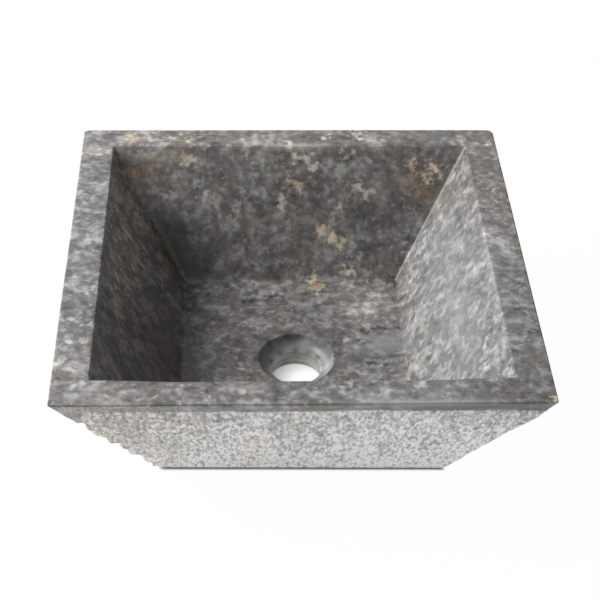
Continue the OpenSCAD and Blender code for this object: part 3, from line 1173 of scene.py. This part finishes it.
    def handmade(self, points: Array, zone: Array) -> Array:
        """Moves the points as the saw and the hand left the block, off its true square.

        The outside shifts towards the foot, evenly with depth below the rim, and its left goes back
        where its right comes forward. The front lip bows forward in its middle, most at the mouth.

        Args:
            points: Stations by points of a ring by 3.
            zone: Kind of surface of each station.

        Returns:
            The moved points.
        """
        x, y, z = points[..., 0], points[..., 1], points[..., 2]
        skin = (np.arange(len(zone)) < np.argmax(zone == Zone.ARRIS))[:, None]
        reach = np.maximum(np.abs(x), np.abs(y)) - self.bore_radius - self.bore_chamfer
        below = (self.rim_z - z) / (self.rim_z - self.foot_z)
        share = skin * below * np.clip(reach / (self.floor_half - self.bore_radius), 0, 1)
        up_wall = np.clip((z - self.floor_z) / (self.rim_z - self.floor_z), 0, 1)
        on_rim = np.clip((self.rim_half - np.abs(y)) / self.rim_width, 0, 1)
        bowed = ~skin * up_wall * on_rim * ease((-y - np.abs(x)) / self.lip_bow_run)
        moved = points.copy()
        moved[..., 0] += share * self.foot_shift
        moved[..., 1] += share * (self.foot_back - self.foot_turn * x / self.foot_half)
        moved[..., 1] -= bowed * self.lip_bow
        return moved

    def hammered(self, points: Array, on_flank: Array) -> Array:
        """Share of hammering at each point: 1 in the fields, 0 on the honed margins.

        The edges of the fields wander by a millimetre or two, and a honed strip runs down the front
        left hip from the rim.

        Args:
            points: Stations by points of a ring by 3.
            on_flank: 1 on the flanks, 0 elsewhere.

        Returns:
            The share, for each point.
        """
        height = points[..., 2]
        half = self.flank(height)
        wander = sum(layer.raised(points) for layer in self.field_wander)
        from_hip = (half + points[..., 0]) + (half + points[..., 1])
        strip = self.strip_width * (1 - ease(from_hip / self.strip_width))
        low = self.foot_z + self.foot_margin + wander / 2
        high = self.rim_z - self.rim_margin - strip + wander
        soft = self.field_edge
        return on_flank * ease((height - low) / soft) * ease((high - height) / soft)

    def laid_flat(self, points: Array) -> Array:
        """Points with the lean taken out of their plan, so that marks run straight down a flank.

        The longer of x and y, which says how far out the flank is, is scaled by the half side at
        mid height over the half side at the point's height.

        Args:
            points: Places in metres, with 3 in the last axis.

        Returns:
            As many points, upright above each other.
        """
        middle = self.flank((self.foot_z + self.rim_z) / 2)
        plan, height = points[..., :2], points[..., 2:]
        longer = np.abs(plan) >= np.max(np.abs(plan), axis=-1, keepdims=True)
        scaled = np.where(longer, plan * middle / self.flank(height), plan)
        return np.concatenate([scaled, height], axis=-1)

    def mesh(self) -> Piece:
        """Builds the block: rings of the section, pushed along their normals by the stone's relief.

        Relief, inwards from the section: in the fields pits, soft swells and bites, all raised by a
        pit's depth; elsewhere a slow waver, with nicks on the arrises where a swell passes a level,
        and in the bore, in its place, a sine of the height for the drill's rings.

        Returns:
            The piece, with the attributes that its marble reads.
        """
        half, height, middle, radii, zone = self.stations()
        points = self.handmade(square_rings(half, height, middle, radii, self.quarter), zone)
        normals = outward(points)
        zone = np.broadcast_to(zone[:, None], points.shape[:2])
        mask = self.hammered(points, (zone == Zone.FLANK).astype(float))
        laid_flat = self.laid_flat(points)
        drawn = laid_flat * np.array(self.pit_squeeze)
        bitten = np.sum([bite.closeness(points) for bite in self.bites], axis=0) * MM
        pitted = (
            self.pit_depth * pits(drawn, self.pit_size, self.pit_seed)
            + self.swells[0].sunk(points)
            + self.swells[1].sunk(points)
            - self.pit_depth
            + bitten
        )
        over = swell(points, self.nick_size, self.nick_seed) - self.nick_level
        nick = np.clip(over, 0, 1) * self.nick_depth * (zone == Zone.ARRIS)
        rings = self.ring_depth * (1 + np.sin(points[..., 2] / self.ring_pitch))
        rings = rings * (zone == Zone.BORE)
        waver = self.waver.sunk(points) * (zone != Zone.BORE)
        depth = mask * pitted + (1 - mask) * (nick + rings + waver)
        block = closed_grid("carved_block", points - depth[..., None] * normals)
        store(block, "crushed", self._crushed(points, mask, zone))
        store(block, "drilled", zone == Zone.BORE)
        store(block, "rubbed", zone == Zone.ARRIS)
        # Factors of the stone's own lighter and darker places and of painted light and shade.
        store(block, "tone", self.finish.tone(points))
        store(block, "laid_flat", laid_flat)
        for inclusion in self.finish.inclusions:
            store(block, inclusion.name, inclusion.closeness(points))
        LOG.info("carved_block: %d stations, %d faces", len(half), len(block.data.polygons))
        return block

    def _crushed(self, points: Array, mask: Array, zone: Array) -> Array:
        """Share of crushed, pale stone: the fields, and in part what was sawn or left rough.

        The underside and the foot were never honed, and the margin under the rim the more roughly
        the further it is to the left.

        Args:
            points: Stations by points of a ring by 3.
            mask: Share of hammering.
            zone: Kind of surface of each point.

        Returns:
            The share, for each point.
        """
        half_way = (self.foot_z + self.rim_z) / 2
        foot = (zone == Zone.UNDERSIDE) + (points[..., 2] < half_way) * (zone == Zone.FLANK)
        margin = (points[..., 2] >= half_way) * (zone == Zone.FLANK)
        leftward = ease((self.margin_start - points[..., 0]) / self.margin_run)
        rough = self.margin_share * margin * leftward
        return mask + (1 - mask) * np.maximum(self.sawn_share * foot, rough)

    def dress(self, block: Piece) -> None:
        """Gives the block its marble and seats it in the frame.

        Args:
            block: The piece that mesh built.
        """
        block.data.materials.append(self.finish.material())
        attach(block, BODY)
        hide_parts("basin")


@dataclass
class Pads:
    """The four pads under the foot, which keep their solids."""

    prefix: str = "pad_"
    finish: MouldedRubber = field(default_factory=MouldedRubber)

    def dress(self) -> None:
        """Gives the pads their rubber."""
        rubber = self.finish.material()
        for name in (n for n in frame["nodes"] if n.startswith(self.prefix)):
            pad = frame["nodes"][name]
            pad.data.materials.clear()
            pad.data.materials.append(rubber)
            LOG.info("%s: %s", name, rubber.name)


# Studio


@dataclass(frozen=True)
class SoftLamp:
    """A square soft lamp, turned to the middle of the block.

    A strength of 1 lights a white surface that faces the lamp to plain white.
    """

    name: str
    toward: Triple
    distance: float
    side: float
    strength: float

    def hang(self, target: Vector) -> None:
        """Hangs the lamp in its direction from the target.

        Args:
            target: The place that it lights.
        """
        lamp = bpy.data.lights.new(self.name, "AREA")
        lamp.shape = "SQUARE"
        lamp.size = self.side
        lamp.energy = self.strength * (math.pi * self.distance) ** 2
        direction = Vector(self.toward).normalized()
        holder = bpy.data.objects.new(self.name, lamp)
        holder.location = target + direction * self.distance
        holder.rotation_euler = direction.to_track_quat("Z", "Y").to_euler()
        bpy.context.scene.collection.objects.link(holder)


@dataclass
class Studio:
    """Pale glowing floor, a large soft lamp from the left, white surroundings, and the camera."""

    key: SoftLamp = SoftLamp("key", (-0.79, 0.11, 0.6), 2.2, 1.3, 2.08)
    lit_height: float = 90 * MM
    surround: Span = Span(0.0, 1.0, 0.19, 1.0)
    glow: Span = Span(0.0, 1.0, 0.7, 0.985)
    paper: str = "#f4f4f3"
    floor_half: float = 6.0
    gap_middle: float = 115.5 * MM
    gap: Span = Span(9 * MM, 12 * MM)
    foot_off: tuple[float, float] = (1.8 * MM, 0.7 * MM)
    foot_turn: float = 0.015
    glimpse: Triple = (12 * MM, -8 * MM, 0.0)
    glimpse_fade: Span = Span(10 * MM, 34 * MM, 1.0, 0.15)
    drain: Triple = (2 * MM, -11 * MM, 0.0)
    drain_fade: Span = Span(50 * MM, 60 * MM)
    camera_place: Triple = (-53.28 * MM, -1099.64 * MM, 959.7 * MM)
    yaw: float = math.radians(3.006)
    pitch: float = math.radians(38.301)
    roll: float = math.radians(1.585)
    lens: float = 93.38
    sensor: float = 36.0

    def floor(self) -> None:
        """Lays a pale floor that glows a little, like a lit table, and more so to the camera.

        Under the edges of the foot it shows the plain paper, so that the gap there stays dark.
        """
        made = bpy.data.materials.new("studio_table")
        add = adder(made)
        glow = add("MapRange", self.glow.of(self._seen(add)))[0]
        share = add("Math", (glow, self._in_the_open(add)), operation="MULTIPLY")[0]
        paper = add("BsdfDiffuse", {"Color": linear(self.paper)})[0]
        white = add("Emission", {"Color": (1, 1, 1, 1), "Strength": 1.0})[0]
        mixed = add("MixShader", (share, paper, white))[0]
        add("OutputMaterial", {"Surface": mixed})
        side = self.floor_half
        corners = [(-side, -side, 0), (side, -side, 0), (side, side, 0), (-side, side, 0)]
        mesh = bpy.data.meshes.new("floor")
        mesh.from_pydata(corners, [], [(0, 1, 2, 3)])
        mesh.materials.append(made)
        sheet = bpy.data.objects.new("floor", mesh)
        bpy.context.scene.collection.objects.link(sheet)

    def _in_the_open(self, add: Adder) -> Socket:
        """Share of the glow that the floor shows.

        It is 0 in the band just inside the foot's edges, and 1 elsewhere. Only round the drain it
        depends on the place that shows through the hole: 1 near it, and falling to little away.

        Args:
            add: What adds a node to the tree.

        Returns:
            The share.
        """
        here = add("TexCoord", {})["Object"]
        sides = add("SeparateXYZ", (here,))
        across = add("Math", (sides[0], self.foot_off[0]), operation="SUBTRACT")[0]
        turn = (sides[0], self.foot_turn, -self.foot_off[1])
        turned = add("Math", turn, operation="MULTIPLY_ADD")[0]
        along = add("Math", (sides[1], turned), operation="ADD")[0]
        reach = [add("Math", (way,), operation="ABSOLUTE")[0] for way in (across, along)]
        far = add("Math", (reach[0], reach[1]), operation="MAXIMUM")[0]
        off = add("Math", (far, self.gap_middle), operation="SUBTRACT")[0]
        away = add("Math", (off,), operation="ABSOLUTE")[0]
        gap = add("MapRange", self.gap.of(away))[0]
        from_glimpse = add("VectorMath", (here, self.glimpse), operation="DISTANCE")[1]
        lit = add("MapRange", self.glimpse_fade.of(from_glimpse))[0]
        from_drain = add("VectorMath", (here, self.drain), operation="DISTANCE")[1]
        outside = add("MapRange", self.drain_fade.of(from_drain))[0]
        shade = add("Math", (lit, outside), operation="MAXIMUM")[0]
        return add("Math", (gap, shade), operation="MULTIPLY")[0]

    def _seen(self, add: Adder) -> Socket:
        """Tells the rays that show the white surroundings from those that only light.

        Args:
            add: What adds a node to the tree.

        Returns:
            1 for rays from the camera and in mirrors and glass, and 0 for the others.
        """
        path = add("LightPath", {})
        rays = (path["Is Camera Ray"], path["Is Glossy Ray"])
        first = add("Math", rays, operation="MAXIMUM")[0]
        through = path["Is Transmission Ray"]
        return add("Math", (first, through), operation="MAXIMUM")[0]

    def surroundings(self) -> None:
        """Lights the object a little from all round, and shows white behind it."""
        world = bpy.data.worlds.new("studio")
        bpy.context.scene.world = world
        add = adder(world)
        strength = add("MapRange", self.surround.of(self._seen(add)))[0]
        light = add("Background", {"Color": (1, 1, 1, 1), "Strength": strength})[0]
        add("OutputWorld", {"Surface": light})

    def camera(self) -> None:
        """Sets the camera at the photograph's angle, found from the corners of the rim and foot."""
        sin_yaw, cos_yaw = math.sin(self.yaw), math.cos(self.yaw)
        flat = math.cos(self.pitch)
        ahead = Vector((sin_yaw * flat, cos_yaw * flat, -math.sin(self.pitch)))
        right = Vector((cos_yaw, -sin_yaw, 0))
        up = right.cross(ahead)
        rolled_right = math.cos(self.roll) * right + math.sin(self.roll) * up
        rolled_up = math.cos(self.roll) * up - math.sin(self.roll) * right
        axes = Matrix((rolled_right, rolled_up, -ahead)).transposed()
        lens = bpy.data.cameras.new("camera")
        lens.sensor_width = self.sensor
        lens.lens = self.lens
        holder = bpy.data.objects.new("camera", lens)
        holder.matrix_world = Matrix.Translation(self.camera_place) @ axes.to_4x4()
        bpy.context.scene.collection.objects.link(holder)
        bpy.context.scene.camera = holder

    def build(self) -> None:
        """Sets up the whole studio."""
        bpy.context.scene.view_settings.view_transform = "Standard"
        self.camera()
        self.floor()
        self.surroundings()
        self.key.hang(Vector((0, 0, self.lit_height)))


def main() -> None:
    """Builds the studio and the basin."""
    logging.basicConfig(level=logging.INFO, format="%(name)s %(message)s")
    Studio().build()
    block = CarvedBlock()
    block.dress(block.mesh())
    Pads().dress()


if __name__ == "__main__":
    main()
